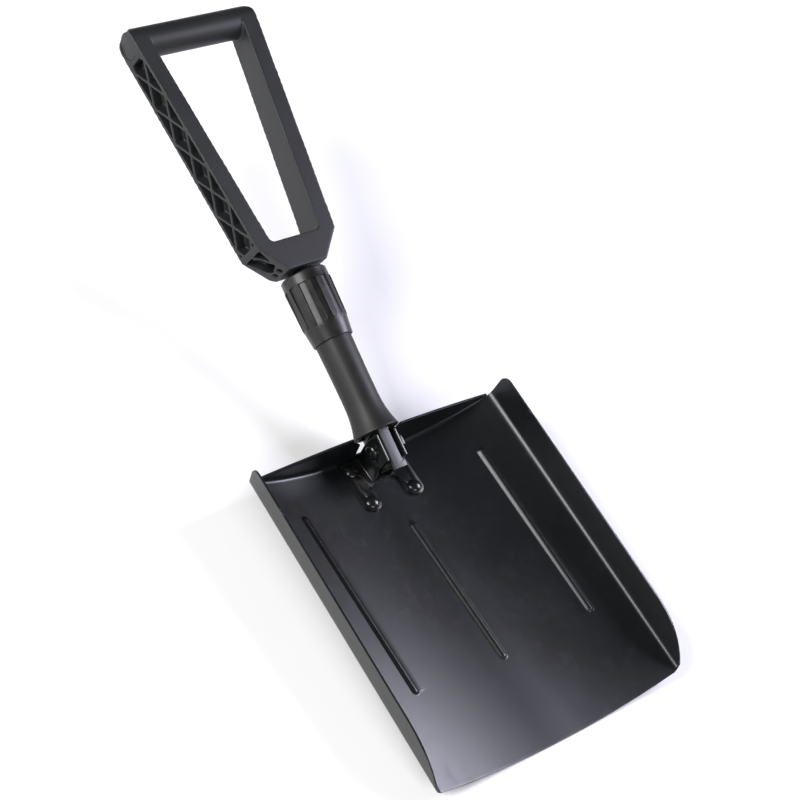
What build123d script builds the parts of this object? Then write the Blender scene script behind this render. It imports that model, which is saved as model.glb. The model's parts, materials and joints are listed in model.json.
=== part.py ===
from build123d import *
from math import cos, radians, sin
import os

# Camp shovel: a pressed steel blade on a folding bracket, a short tube shaft with a rubber grip
# and a screw collar, and a moulded D-handle that folds back over the shaft.
#
# Frame: +X to the right, +Y from the blade towards the handle, +Z up, millimetres.
# The origin is on the underside of the blade, on its centreline, straight below the blade pivot.
# Round pieces of the shaft are measured from the blade pivot: "along" goes up the shaft and
# "above" stands square to it, away from the ground.

os.makedirs("parts", exist_ok=True)

# ---------------------------------------------------------------- driving dimensions: blade
sheet = 1.5  # blade steel
blade_back = 11.6  # inner face of the back panel
blade_front = -254.9  # front end of the side creases
half_at_back = 118.2  # centreline to a side crease
half_at_front = 120.0
dish_at_back = 26.4  # how far the side creases stand above the middle of the floor
dish_at_front = 11.1
flat_half = 12.0  # flat strip down the middle of the floor
wall_height = 24.4
wall_lean = 5.5  # outward lean of a side wall at its top
crease_radius = 3.0
wall_nose = 48.8  # length over which a side wall curves down to the front edge
wall_corner = 8.0
front_bow = 4.0  # how far the cutting edge bows forward
panel_crown = 6.6  # rise of the back panel's top edge above the creases
notch_floor = 5.5
notch_half_low = 11.5
notch_neck = 21.0  # up to here the notch follows the bracket's ears, then it opens round the grip
notch_half_neck = 12.5
notch_mouth = 27.0
notch_half_mouth = 20.5
notch_half_high = 24.0
bead_width = 6.4
bead_height = 1.6
side_bead_x = 87.0
side_bead_ends = (-27.0, -180.0)
middle_bead_ends = (-59.0, -182.0)

# ---------------------------------------------------------------- driving dimensions: bracket
pivot_height = 26.9
plate = 2.2  # bracket steel
ear_gap = 15.4  # between the two ears
ear_front = -12.8
ear_back = 9.9
ear_top = 11.5  # above the pivot, square to the shaft
ear_nose = -12.2  # along the shaft, from the pivot
ear_tail = 11.0
ear_corner = 2.2
ear_front_knee = -6.0  # where the front edge starts to lean back, from the pivot
ear_back_knee = 8.5
rivet_x = 21.0
rivet_front_y = -29.1
rivet_back_y = 0.8
rivet_radius = 2.5
rivet_head_radius = 5.6
rivet_head_height = 2.9
tab_margin = 1.9  # steel round a rivet head, at the tab's end
web_front = -14.0
web_fillet = 5.5
bolt_radius = 4.0
bolt_clearance = 0.05
washer_thickness = 0.8
washer_radius = 6.6
bolt_head_radius = 5.9
bolt_head_height = 3.6
bolt_socket = 2.5
socket_depth = 2.1
bolt_tail = 1.5  # thread that stands out of the nut
bolt_tip_chamfer = 0.6
nut_flats = 13.0
nut_height = 5.0

# ---------------------------------------------------------------- driving dimensions: shaft
shaft_tilt = 16.4  # degrees above the ground
tube_radius = 12.0
tube_wall = 1.6
tube_start = 17.5  # clear of the ears all the way round the fold
tube_end = 147.0
slip = 0.02  # a spigot inside the tube
side_play = 0.25  # a tongue between its two cheeks
knuckle_nose = -16.8
knuckle_below = 11.0
knuckle_corner = 3.0
spigot_end = 58.0
bush_wall = 1.4
running = 0.03  # a bush round its bolt
grip_mouth = 12.65
grip_end = 99.0
grip_wall = 2.5  # rubber over the tube at the waist
top_swell = 0.5  # how far the grip's top band stands out from the waist
knee_swell = 1.9
mouth_swell = 4.4
mouth_wall = 3.4
mouth_depth = 11.0
flare_length = 30.0
pin_radius = 2.0
knuckle_pin_spots = ((26.5, 0.0), (54.0, -7.6))  # along and above the shaft
tongue_pin_at = 136.0
pin_recess = 0.3  # how far a pin's end stays under the surface
lip_chamfer = 0.8
flare_knee = 0.38  # where the flare has narrowed to the knee, as a share of its length
taper_start = 59.4
top_band = 8.0

# ---------------------------------------------------------------- driving dimensions: lock and collar
bar_half = 4.4
bar_thickness = 4.0
bar_below_tube = 1.6  # from the tube's outside down to the bar's top
bar_nose = -20.2
bar_end = 46.0
bar_leg = 10.0
bar_play = 0.2
leg_room = 1.0  # past the bar's leg at the end of its travel
slot_room = 1.0  # past the bar's back end at rest
hook_length = 5.2
hook_reach = 2.0
leg_low = -5.0  # underside of the bar's leg, above the shaft's axis
lock_travel = 6.0
rod_radius = 3.5
rod_end = 124.0
rod_room = 4.0  # between the push rod and the handle's tongue
drive_at = 118.0  # cross pin that joins the push rod to the collar nut
screw_wall = 2.2
screw_gap = 0.5  # between the grip's end and the screw sleeve
skirt_lap = 6.9  # how far the collar's skirt covers the grip
skirt_clearance = 0.5
skirt_wall = 1.1
collar_high = 149.6
shoulder_step = 0.1
shoulder_at = 104.0
rib_start = 107.0
rib_end = 140.6
groove_wall = 1.4  # collar wall between its nut and the floor of a groove
rib_height = 1.5
rim_height = 1.0
rib_count = 12
rib_share = 0.5  # part of each pitch that a rib fills
rib_ramp = 2.4  # length of a rib's sloping lower end
rib_taper = 0.8
rim_chamfer = 1.0
retainer_recess = 0.6
nut_wall = 2.4
nut_start = 107.0
nut_end = 143.0
drive_groove_depth = 1.4  # groove inside the collar nut for the cross pin

# ---------------------------------------------------------------- driving dimensions: D-handle
yoke_low = 153.2
yoke_half_low = 17.7
yoke_high = 175.7
yoke_half_high = 37.4
yoke_thick = 30.4
leg_width = 14.4
leg_top = 356.0
leg_half_top = 57.5
bar_at = 365.6  # crossbar axis
bar_radius = 12.7
bar_half_length = 58.3
opening_low = 177.9
opening_corner = 4.5
frame_corner = 9.0
hinge_at = 165.6
hinge_above = -2.0
tongue_half = 6.0
tongue_arm = 9.0  # half the depth of the tongue
tongue_play = 0.4
swing_room = 15.6  # everything behind the hinge stays inside this radius
hinge_radius = 3.0
cheek_out = 16.0  # outer face of each cheek, under the bolt head and the nut
hinge_head_radius = 5.2
hinge_head_height = 3.4
head_room = 1.3
lattice_low = 4.0  # ends of the pocketed stretch, from the leg's lower corner
lattice_high = 176.5
lattice_start = 10.5  # where the first whole cell starts
lattice_pitch = 32.5
lattice_cells = 5
lattice_depth = 9.0
lattice_bar = 2.2
flange_wall = 2.6
core_radius = 8.0
cap_radius = 10.9
cap_thickness = 2.5
cap_recess = 1.2
hinge_socket = 2.2
hinge_nut_height = 4.0
hinge_nut_flats = 10.4
hinge_bolt_tail = 0.5
bar_overlap = 4.0  # how far the near half of the crossbar runs into each leg
yoke_pocket_depth = 8.0
yoke_pocket_end = 2.5  # from the corner where the yoke meets the leg
yoke_rib = 1.6
yoke_rib_angle = 27.0  # each radiating rib, from the face's middle line
boss_radius = 7.9
boss_height = 5.5
yoke_square = 4.6
yoke_square_spot = (4.6, 4.4)

# a cutting shape runs this far past the solid that it cuts
past = 5.0

# ---------------------------------------------------------------- frames
tilt = radians(shaft_tilt)
along = Vector(0, cos(tilt), sin(tilt))
above = Vector(0, -sin(tilt), cos(tilt))
pivot = Vector(0, 0, pivot_height)
shaft_axis = Axis(pivot, along)
SIDE = Plane(origin=pivot, x_dir=along, z_dir=(1, 0, 0))  # (along, above), looking down the X axis
FACE = Plane(origin=pivot, x_dir=(1, 0, 0), z_dir=above)  # (across, along)

# round pieces of the shaft, from the tube outwards
tube_bore = tube_radius - tube_wall
grip_waist = tube_radius + grip_wall
grip_top_radius = grip_waist + top_swell
knee_radius = grip_waist + knee_swell
mouth_radius = grip_waist + mouth_swell
mouth_bore = mouth_radius - mouth_wall
screw_radius = tube_radius + screw_wall
screw_start = grip_end + screw_gap
nut_radius = screw_radius + nut_wall
skirt_bore = grip_top_radius + skirt_clearance
skirt_radius = skirt_bore + skirt_wall
collar_low = grip_end - skirt_lap
groove_radius = nut_radius + groove_wall
shoulder_radius = groove_radius - shoulder_step
rib_radius = groove_radius + rib_height
rim_radius = groove_radius + rim_height
bar_high = tube_radius - bar_below_tube
bar_low = bar_high - bar_thickness


def across(distance):
    """Plane square to the shaft at a distance up it, with (across, -above) as its directions."""
    return Plane(origin=pivot + along * distance, x_dir=(1, 0, 0), z_dir=along)


def half_width(y):
    """Half the floor's width between creases at one place along the blade."""
    share = (blade_back - y) / (blade_back - blade_front)
    return half_at_back + (half_at_front - half_at_back) * share


def crease_rise(y):
    """Height of the side creases above the middle of the floor at one place."""
    share = (blade_back - y) / (blade_back - blade_front)
    return dish_at_back + (dish_at_front - dish_at_back) * share


def dish_radius(y):
    """Radius of the floor's arc, which leaves the flat strip tangentially."""
    run = half_width(y) - flat_half
    rise = crease_rise(y)
    return (run**2 + rise**2) / (2 * rise)


def floor_height(x, y):
    """Height of the floor's underside."""
    run = max(abs(x) - flat_half, 0)
    radius = dish_radius(y)
    return radius - (radius**2 - run**2) ** 0.5


# ================================================================ blade
def pan_section(y):
    """Floor and side walls cut square across at one place along the blade."""
    half, rise = half_width(y), crease_rise(y)
    with BuildSketch(Plane.XZ.offset(-y)) as section:
        with BuildLine():
            Line((0, 0), (flat_half, 0))
            TangentArc((flat_half, 0), (half, rise), tangent=(1, 0))
            Line((half, rise), (half + wall_lean, rise + wall_height))
            offset(amount=sheet, side=Side.LEFT)
        make_face()
        fillet(section.vertices().sort_by_distance((half, rise))[1], crease_radius)
        fillet(section.vertices().sort_by_distance((half, rise))[0], crease_radius + sheet)
        mirror(about=Plane.YZ)
    return section.sketch


def bead_profile(radius, height, depth, whole):
    """A bead's round section, whole or its right half: a cap of a circle, carried on down to a depth."""
    with BuildSketch(Plane.XY) as profile:
        with Locations((0, height - radius)):
            Circle(radius)
        with Locations((0 if whole else radius, (height - depth) / 2)):
            Rectangle(2 * radius, height + depth, mode=Mode.INTERSECT)
    return profile.sketch


def bead(ends, radius, height, depth):
    """Straight round-topped bead with domed ends, square to the floor that it crosses."""
    start, end = ends
    run = (end - start).normalized()
    lean = (Vector(0, 0, 1) - run * run.Z).normalized()
    with BuildPart() as shape:
        extrude(
            Plane(origin=start, x_dir=lean.cross(run), z_dir=run) * bead_profile(radius, height, depth, True),
            amount=(end - start).length,
        )
        for tip in ends:
            upright = Plane(origin=tip, x_dir=lean.cross(run), z_dir=run)
            revolve(upright * bead_profile(radius, height, depth, False), axis=Axis(tip, lean))
    return shape.part


def bead_ends(x, ends):
    """Where a bead starts and stops, on the floor's upper face."""
    return [Vector(x, y, floor_height(x, y) + sheet) for y in ends]


def spots(xs, ys):
    """Every pairing of the given places."""
    return [(x, y) for x in xs for y in ys]


rivet_spots = spots((-rivet_x, rivet_x), (rivet_front_y, rivet_back_y))
middle_bead = bead_ends(0, middle_bead_ends)
side_beads = [bead_ends(side * side_bead_x, side_bead_ends) for side in (-1, 1)]
bead_radius = ((bead_width / 2) ** 2 + bead_height**2) / (2 * bead_height)
corner_rise = crease_rise(blade_back)

with BuildPart() as blade_pan:
    loft([pan_section(blade_back), pan_section(blade_front - 2 * front_bow)], ruled=True)
    # side outline: rounded back corners, and walls that curve down to the front edge
    with BuildSketch(Plane.YZ.offset(-2 * half_at_front)) as outline:
        nose_y = blade_front + wall_nose
        back_top = (blade_back, corner_rise + wall_height)
        nose_top = (nose_y, crease_rise(nose_y) + wall_height)
        front_end = (blade_front, crease_rise(blade_front))
        with BuildLine():
            Line(back_top, nose_top)
            TangentArc(nose_top, front_end, tangent=(nose_top[0] - back_top[0], nose_top[1] - back_top[1]))
            Polyline(
                front_end,
                (blade_front - front_bow - past, front_end[1]),
                (blade_front - front_bow - past, -past),
                (blade_back, -past),
                back_top,
            )
        make_face()
        fillet(outline.vertices().sort_by_distance(back_top)[0], wall_corner)
    extrude(amount=4 * half_at_front, mode=Mode.INTERSECT)
    # bowed cutting edge
    with BuildSketch(Plane.XY.offset(-past)):
        with BuildLine():
            edge_half = half_at_front + wall_lean + past
            edge_far = blade_front - 2 * front_bow - past
            bow = ThreePointArc(
                (-half_at_front, blade_front), (0, blade_front - front_bow), (half_at_front, blade_front)
            )
            Polyline(
                bow @ 1,
                (edge_half, blade_front),
                (edge_half, edge_far),
                (-edge_half, edge_far),
                (-edge_half, blade_front),
                bow @ 0,
            )
        make_face()
    extrude(amount=dish_at_back + wall_height + 2 * past, mode=Mode.SUBTRACT)
    # back panel: a segment with a crowned top edge and a notch for the shaft
    with BuildSketch(Plane.XZ.offset(-blade_back)):
        with BuildLine():
            Line((-flat_half, 0), (flat_half, 0))
            TangentArc((flat_half, 0), (half_at_back, corner_rise), tangent=(1, 0))
            TangentArc((-flat_half, 0), (-half_at_back, corner_rise), tangent=(-1, 0))
            ThreePointArc(
                (half_at_back, corner_rise), (0, corner_rise + panel_crown), (-half_at_back, corner_rise)
            )
        make_face()
        with BuildSketch(mode=Mode.SUBTRACT):
            with BuildLine():
                Polyline(
                    (notch_half_low, notch_floor),
                    (notch_half_neck, notch_neck),
                    (notch_half_mouth, notch_mouth),
                    (notch_half_high, corner_rise + 2 * panel_crown),
                    (-notch_half_high, corner_rise + 2 * panel_crown),
                    (-notch_half_mouth, notch_mouth),
                    (-notch_half_neck, notch_neck),
                    (-notch_half_low, notch_floor),
                    close=True,
                )
            make_face()
    extrude(amount=-sheet)
    # stamped beads, raised above and hollow below
    for ends in (middle_bead, *side_beads):
        add(bead(ends, bead_radius, bead_height, sheet / 2))
    for ends in (middle_bead, *side_beads):
        add(bead(ends, bead_radius - sheet, bead_height - sheet, 3 * sheet), mode=Mode.SUBTRACT)
    # rivet holes
    with BuildSketch(Plane.XY.offset(-past)):
        with Locations(*rivet_spots):
            Circle(rivet_radius)
    extrude(amount=2 * past + sheet, mode=Mode.SUBTRACT)
blade_pan.part.label = "blade_pan"
export_step(blade_pan.part, "parts/blade_pan.step")


# ================================================================ folding bracket
tab_radius = rivet_head_radius + tab_margin
ear_inner = ear_gap / 2
ear_outer = ear_inner + plate


def side_point(s, t):
    """World (Y, Z) of a point given along and above the shaft."""
    point = pivot + along * s + above * t
    return (point.Y, point.Z)


with BuildPart() as hinge_bracket:
    # flanges and web, lying on the floor
    with BuildSketch(Plane.XY.offset(sheet)) as flanges:
        with Locations((0, (ear_back + web_front) / 2)):
            Rectangle(2 * (rivet_x + tab_radius), ear_back - web_front)
        for side in (-1, 1):
            with Locations((side * rivet_x, (web_front + rivet_front_y) / 2)):
                Rectangle(2 * tab_radius, web_front - rivet_front_y)
            with Locations((side * rivet_x, rivet_front_y)):
                Circle(tab_radius)
        inside = flanges.vertices().filter_by_position(Axis.Y, web_front - slip, web_front + slip)
        fillet(inside.sort_by(Axis.X), web_fillet)
    extrude(amount=plate)
    # ears
    with BuildSketch(Plane.YZ.offset(-ear_outer)) as ear:
        with BuildLine():
            Polyline(
                (ear_front, sheet),
                (ear_front, pivot_height + ear_front_knee),
                side_point(ear_nose, ear_top),
                side_point(ear_tail, ear_top),
                (ear_back, pivot_height + ear_back_knee),
                (ear_back, sheet),
                close=True,
            )
        make_face()
        fillet(ear.vertices().sort_by(Axis.Y)[0], ear_corner)
        fillet(ear.vertices().sort_by_distance(side_point(ear_tail, ear_top))[0], ear_corner)
    extrude(amount=2 * ear_outer)
    # bend radius where each ear leaves its flange
    bends = hinge_bracket.edges().filter_by(Axis.Y).sort_by_distance((0, 0, sheet + plate))
    fillet(bends.filter_by(lambda edge: abs(abs(edge.center().X) - ear_outer) < slip), plate / 2)
    with BuildSketch(Plane.YZ.offset(-ear_inner)):
        with Locations(((ear_front + ear_back) / 2, sheet + plate + pivot_height)):
            Rectangle(2 * pivot_height, 2 * pivot_height)
    extrude(amount=ear_gap, mode=Mode.SUBTRACT)
    with BuildSketch(SIDE.offset(-ear_outer - past)):
        Circle(bolt_radius + bolt_clearance)
    extrude(amount=2 * (ear_outer + past), mode=Mode.SUBTRACT)
    with BuildSketch(Plane.XY):
        with Locations(*rivet_spots):
            Circle(rivet_radius)
    extrude(amount=sheet + plate + past, mode=Mode.SUBTRACT)
    add(blade_pan.part, mode=Mode.SUBTRACT)
hinge_bracket.part.label = "hinge_bracket"
export_step(hinge_bracket.part, "parts/hinge_bracket.step")

with BuildPart() as one_rivet:
    with BuildSketch(Plane.XZ):
        foot = floor_height(rivet_x, 0)
        seat = sheet + plate
        brim = rivet_head_height / 5
        rise = rivet_head_height - brim
        dome = (rivet_head_radius**2 + rise**2) / (2 * rise)
        with BuildLine():
            Polyline(
                (0, seat + rivet_head_height),
                (0, foot),
                (rivet_radius, foot),
                (rivet_radius, seat),
                (rivet_head_radius, seat),
                (rivet_head_radius, seat + brim),
            )
            RadiusArc((rivet_head_radius, seat + brim), (0, seat + rivet_head_height), -dome)
        make_face()
    revolve(axis=Axis.Z)

with BuildPart() as bracket_rivets:
    with Locations(*[Location((x, y, 0)) for x, y in rivet_spots]):
        add(one_rivet.part)
bracket_rivets.part.label = "bracket_rivets"
export_step(bracket_rivets.part, "parts/bracket_rivets.step")


def head_profile(radius, height):
    """Half-section of a low round head, from its bearing face up: a brim, a rounded shoulder, a flat top."""
    brim = (radius, 0.35 * height)
    shoulder = (0.8 * radius, 0.8 * height)
    flat = (0.5 * radius, height)
    with BuildSketch(Plane.XY) as profile:
        with BuildLine():
            Polyline(flat, (0, height), (0, 0), (radius, 0), brim)
            ThreePointArc(brim, shoulder, flat)
        make_face()
    return profile.sketch


def head_plane(x, s, t):
    """Plane for the half-section of a head that faces -X, centred on a cross axis."""
    return Plane(origin=pivot + along * s + above * t + Vector(x, 0, 0), x_dir=along, z_dir=above)


def cross_axis(s, t):
    """Axis along X through a point of the side view."""
    return Axis(pivot + along * s + above * t, (1, 0, 0))


with BuildPart() as blade_pivot_bolt:
    with BuildSketch(SIDE.offset(-ear_outer - washer_thickness)):
        Circle(bolt_radius)
    extrude(amount=2 * (ear_outer + washer_thickness) + nut_height + bolt_tail)
    revolve(
        head_plane(-ear_outer - washer_thickness, 0, 0) * head_profile(bolt_head_radius, bolt_head_height),
        axis=cross_axis(0, 0),
    )
    with BuildSketch(SIDE.offset(-ear_outer - washer_thickness - bolt_head_height)):
        RegularPolygon(radius=bolt_socket, side_count=6, major_radius=False)
    extrude(amount=socket_depth, mode=Mode.SUBTRACT)
    chamfer(blade_pivot_bolt.faces().sort_by(Axis.X)[-1].edges(), bolt_tip_chamfer)
blade_pivot_bolt.part.label = "blade_pivot_bolt"
export_step(blade_pivot_bolt.part, "parts/blade_pivot_bolt.step")


def washer(plane, outer, inner, thickness):
    """Flat ring standing on a plane."""
    with BuildPart() as ring:
        with BuildSketch(plane):
            Circle(outer)
            Circle(inner, mode=Mode.SUBTRACT)
        extrude(amount=thickness)
    return ring.part


def hex_nut(plane, flats, inner, height):
    """Hexagon nut standing on a plane."""
    with BuildPart() as nut:
        with BuildSketch(plane):
            RegularPolygon(radius=flats / 2, side_count=6, major_radius=False)
            Circle(inner, mode=Mode.SUBTRACT)
        extrude(amount=height)
    return nut.part


with BuildPart() as pivot_washers:
    add(washer(SIDE.offset(ear_outer), washer_radius, bolt_radius, washer_thickness))
    add(washer(SIDE.offset(-ear_outer - washer_thickness), washer_radius, bolt_radius, washer_thickness))
pivot_washers.part.label = "pivot_washers"
export_step(pivot_washers.part, "parts/pivot_washers.step")

with BuildPart() as pivot_nut:
    add(hex_nut(SIDE.offset(ear_outer + washer_thickness), nut_flats, bolt_radius, nut_height))
pivot_nut.part.label = "pivot_nut"
export_step(pivot_nut.part, "parts/pivot_nut.step")

# ================================================================ shaft
tongue_wide = ear_gap - 2 * side_play
channel_half = bar_half + bar_play
channel_low = bar_low - bar_play
knuckle_above = channel_low
bush_outer = bolt_radius + bush_wall

with BuildPart() as hinge_knuckle:
    with BuildSketch(SIDE.offset(-tongue_wide / 2)) as block:
        with BuildLine():
            Polyline(
                (knuckle_nose, -knuckle_below),
                (knuckle_nose, knuckle_above),
                (tube_start, knuckle_above),
                (tube_start, -knuckle_below),
                close=True,
            )
        make_face()
        fillet(block.vertices().group_by(Axis.X)[0], knuckle_corner)
    extrude(amount=tongue_wide)
    with BuildSketch(across(tube_start)):
        Circle(tube_bore - slip)
    extrude(amount=spigot_end - tube_start)
    # channel for the lock bar, deeper where its leg reaches the push rod
    leg_stop = bar_end - bar_leg - lock_travel - leg_room
    with BuildSketch(SIDE.offset(-channel_half)):
        with Locations(((spigot_end + knuckle_nose) / 2, channel_low + tube_radius)):
            Rectangle(spigot_end - knuckle_nose + past, 2 * tube_radius)
        with Locations(((leg_stop + spigot_end + past) / 2, leg_low - bar_play + tube_radius)):
            Rectangle(spigot_end + past - leg_stop, 2 * tube_radius)
    extrude(amount=2 * channel_half, mode=Mode.SUBTRACT)
    with BuildSketch(SIDE.offset(-tongue_wide)):
        Circle(bush_outer)
        with Locations(*knuckle_pin_spots):
            Circle(pin_radius)
    extrude(amount=2 * tongue_wide, mode=Mode.SUBTRACT)
hinge_knuckle.part.label = "hinge_knuckle"
export_step(hinge_knuckle.part, "parts/hinge_knuckle.step")

with BuildPart() as knuckle_bush:
    add(washer(SIDE.offset(-tongue_wide / 2), bush_outer, bolt_radius + running, tongue_wide))
knuckle_bush.part.label = "knuckle_bush"
export_step(knuckle_bush.part, "parts/knuckle_bush.step")

with BuildPart() as knuckle_pins:
    for s, t in knuckle_pin_spots:
        half = (tube_radius**2 - (abs(t) + pin_radius) ** 2) ** 0.5 - pin_recess
        with BuildSketch(SIDE.offset(-half)):
            with Locations((s, t)):
                Circle(pin_radius)
        extrude(amount=2 * half)
knuckle_pins.part.label = "knuckle_pins"
export_step(knuckle_pins.part, "parts/knuckle_pins.step")

with BuildPart() as shaft_tube:
    with BuildSketch(across(tube_start)):
        Circle(tube_radius)
        Circle(tube_bore, mode=Mode.SUBTRACT)
    extrude(amount=tube_end - tube_start)
    # slot in the top for the lock bar
    with BuildSketch(SIDE.offset(-channel_half)):
        with Locations(((tube_start - past + bar_end + slot_room) / 2, tube_radius)):
            Rectangle(bar_end + slot_room - tube_start + past, 2 * (tube_radius - channel_low))
    extrude(amount=2 * channel_half, mode=Mode.SUBTRACT)
    # cross holes for the pins, and a slot on each side for the drive pin
    with BuildSketch(SIDE.offset(-tube_radius - past)):
        with Locations(*knuckle_pin_spots, (tongue_pin_at, 0)):
            Circle(pin_radius)
        with Locations((drive_at - lock_travel / 2, 0)):
            SlotCenterToCenter(lock_travel, 2 * (pin_radius + bar_play))
    extrude(amount=2 * (tube_radius + past), mode=Mode.SUBTRACT)
shaft_tube.part.label = "shaft_tube"
export_step(shaft_tube.part, "parts/shaft_tube.step")

with BuildPart() as grip_sleeve:
    lip = (grip_mouth + lip_chamfer, mouth_radius)
    knee = (grip_mouth + flare_knee * flare_length, knee_radius)
    waist = (grip_mouth + flare_length, grip_waist)
    with BuildSketch(SIDE):
        with BuildLine():
            Spline(lip, knee, waist, tangents=((0.8, -0.45), (1, 0)))
            Polyline(
                waist,
                (taper_start, grip_waist),
                (grip_end - top_band, grip_top_radius),
                (grip_end, grip_top_radius),
                (grip_end, tube_radius),
                (grip_mouth + mouth_depth, tube_radius),
                (grip_mouth, mouth_bore),
                (grip_mouth, mouth_radius - lip_chamfer),
                lip,
            )
        make_face()
    revolve(axis=shaft_axis)
grip_sleeve.part.label = "grip_sleeve"
export_step(grip_sleeve.part, "parts/grip_sleeve.step")

with BuildPart() as screw_sleeve:
    with BuildSketch(across(screw_start)):
        Circle(screw_radius)
        Circle(tube_radius, mode=Mode.SUBTRACT)
    extrude(amount=tube_end - screw_start)
    with BuildSketch(SIDE.offset(-screw_radius - past)):
        with Locations((drive_at - lock_travel / 2, 0)):
            SlotCenterToCenter(lock_travel, 2 * (pin_radius + bar_play))
        with Locations((tongue_pin_at, 0)):
            Circle(pin_radius)
    extrude(amount=2 * (screw_radius + past), mode=Mode.SUBTRACT)
screw_sleeve.part.label = "screw_sleeve"
export_step(screw_sleeve.part, "parts/screw_sleeve.step")

tongue_low = rod_end + rod_room
with BuildPart() as handle_tongue:
    with BuildSketch(across(tongue_low)):
        Circle(tube_bore - slip)
    extrude(amount=tube_end - tongue_low)
    with BuildSketch(SIDE.offset(-tongue_half)):
        with Locations((hinge_at, hinge_above)):
            Circle(tongue_arm)
        with Locations(((tube_end + hinge_at) / 2, hinge_above)):
            Rectangle(hinge_at - tube_end, 2 * tongue_arm)
    extrude(amount=2 * tongue_half)
    with BuildSketch(SIDE.offset(-tube_radius)):
        with Locations((hinge_at, hinge_above)):
            Circle(hinge_radius + bush_wall)
        with Locations((tongue_pin_at, 0)):
            Circle(pin_radius)
    extrude(amount=2 * tube_radius, mode=Mode.SUBTRACT)
handle_tongue.part.label = "handle_tongue"
export_step(handle_tongue.part, "parts/handle_tongue.step")

with BuildPart() as tongue_pin:
    with BuildSketch(SIDE.offset(pin_recess - screw_radius)):
        with Locations((tongue_pin_at, 0)):
            Circle(pin_radius)
    extrude(amount=2 * (screw_radius - pin_recess))
tongue_pin.part.label = "tongue_pin"
export_step(tongue_pin.part, "parts/tongue_pin.step")


def hinge_side(x):
    """Plane square to X, centred on the handle hinge."""
    centre = pivot + along * hinge_at + above * hinge_above
    return Plane(origin=centre + Vector(x, 0, 0), x_dir=along, z_dir=(1, 0, 0))


with BuildPart() as tongue_bush:
    add(washer(hinge_side(-tongue_half), hinge_radius + bush_wall, hinge_radius + running, 2 * tongue_half))
tongue_bush.part.label = "tongue_bush"
export_step(tongue_bush.part, "parts/tongue_bush.step")

# ================================================================ lock bar, push rod and drive pin
with BuildPart() as lock_bar:
    with BuildSketch(SIDE.offset(-bar_half)):
        with Locations(((bar_nose + bar_end) / 2, (bar_low + bar_high) / 2)):
            Rectangle(bar_end - bar_nose, bar_high - bar_low)
        with Locations((bar_end - bar_leg / 2, (leg_low + bar_high) / 2)):
            Rectangle(bar_leg, bar_high - leg_low)
    extrude(amount=2 * bar_half)
    # hook on one side of the nose
    with BuildSketch(FACE.offset(bar_low)):
        with Locations((bar_half + hook_reach / 2, bar_nose + hook_length / 2)):
            Rectangle(hook_reach, hook_length)
    extrude(amount=bar_high - bar_low)
    with BuildSketch(across(bar_end - bar_leg)):
        Circle(rod_radius)
    extrude(amount=bar_leg + past, mode=Mode.SUBTRACT)
lock_bar.part.label = "lock_bar"
export_step(lock_bar.part, "parts/lock_bar.step")

with BuildPart() as push_rod:
    with BuildSketch(across(bar_end - bar_leg)):
        Circle(rod_radius)
    extrude(amount=rod_end - bar_end + bar_leg)
    with BuildSketch(SIDE.offset(-rod_radius - past)):
        with Locations((drive_at, 0)):
            Circle(pin_radius)
    extrude(amount=2 * (rod_radius + past), mode=Mode.SUBTRACT)
push_rod.part.label = "push_rod"
export_step(push_rod.part, "parts/push_rod.step")

drive_groove = screw_radius + drive_groove_depth
with BuildPart() as drive_pin:
    reach = drive_groove - pin_recess
    with BuildSketch(SIDE.offset(-reach)):
        with Locations((drive_at, 0)):
            Circle(pin_radius)
    extrude(amount=2 * reach)
drive_pin.part.label = "drive_pin"
export_step(drive_pin.part, "parts/drive_pin.step")

# ================================================================ collar
with BuildPart() as collar_shell:
    with BuildSketch(SIDE):
        with BuildLine():
            Polyline(
                (collar_low, skirt_bore),
                (collar_low, skirt_radius),
                (shoulder_at, shoulder_radius),
                (rib_start, groove_radius),
                (rib_end, groove_radius),
                (rib_end, rim_radius),
                (collar_high - rim_chamfer, rim_radius),
                (collar_high, rim_radius - rim_chamfer),
                (collar_high, nut_radius),
                (nut_start, nut_radius),
                (nut_start, skirt_bore),
                close=True,
            )
        make_face()
    revolve(axis=shaft_axis)
    # raised ribs, with sloping lower ends
    rib_pitch = 360 / rib_count
    for step in range(rib_count):
        with BuildSketch(SIDE * Rot(X=(step - rib_share / 2) * rib_pitch)):
            with BuildLine():
                Polyline(
                    (rib_start - rib_ramp / 2, skirt_radius),
                    (rib_start - rib_ramp / 2, groove_radius),
                    (rib_start + rib_ramp / 2, rib_radius - rib_taper),
                    (rib_end, rib_radius),
                    (rib_end + rim_chamfer, skirt_radius),
                    close=True,
                )
            make_face()
        revolve(axis=shaft_axis, revolution_arc=rib_share * rib_pitch)
collar_shell.part.label = "collar_shell"
export_step(collar_shell.part, "parts/collar_shell.step")

with BuildPart() as collar_nut:
    with BuildSketch(SIDE):
        with Locations(((nut_start + nut_end) / 2, (screw_radius + running + nut_radius) / 2)):
            Rectangle(nut_end - nut_start, nut_radius - screw_radius - running)
        with Locations((drive_at, (screw_radius + drive_groove) / 2)):
            Rectangle(2 * (pin_radius + bolt_clearance), drive_groove - screw_radius, mode=Mode.SUBTRACT)
    revolve(axis=shaft_axis)
collar_nut.part.label = "collar_nut"
export_step(collar_nut.part, "parts/collar_nut.step")

with BuildPart() as collar_retainer:
    with BuildSketch(across(nut_end)):
        Circle(nut_radius)
        Circle(screw_radius + 2 * running, mode=Mode.SUBTRACT)
    extrude(amount=collar_high - nut_end - retainer_recess)
collar_retainer.part.label = "collar_retainer"
export_step(collar_retainer.part, "parts/collar_retainer.step")

# ================================================================ D-handle
leg_slope = (leg_half_top - yoke_half_high) / (leg_top - yoke_high)
leg_inset = leg_width * (1 + leg_slope**2) ** 0.5


def leg_outer(s):
    """Half-width of the D-handle over its legs."""
    return yoke_half_high + (s - yoke_high) * leg_slope


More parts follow.
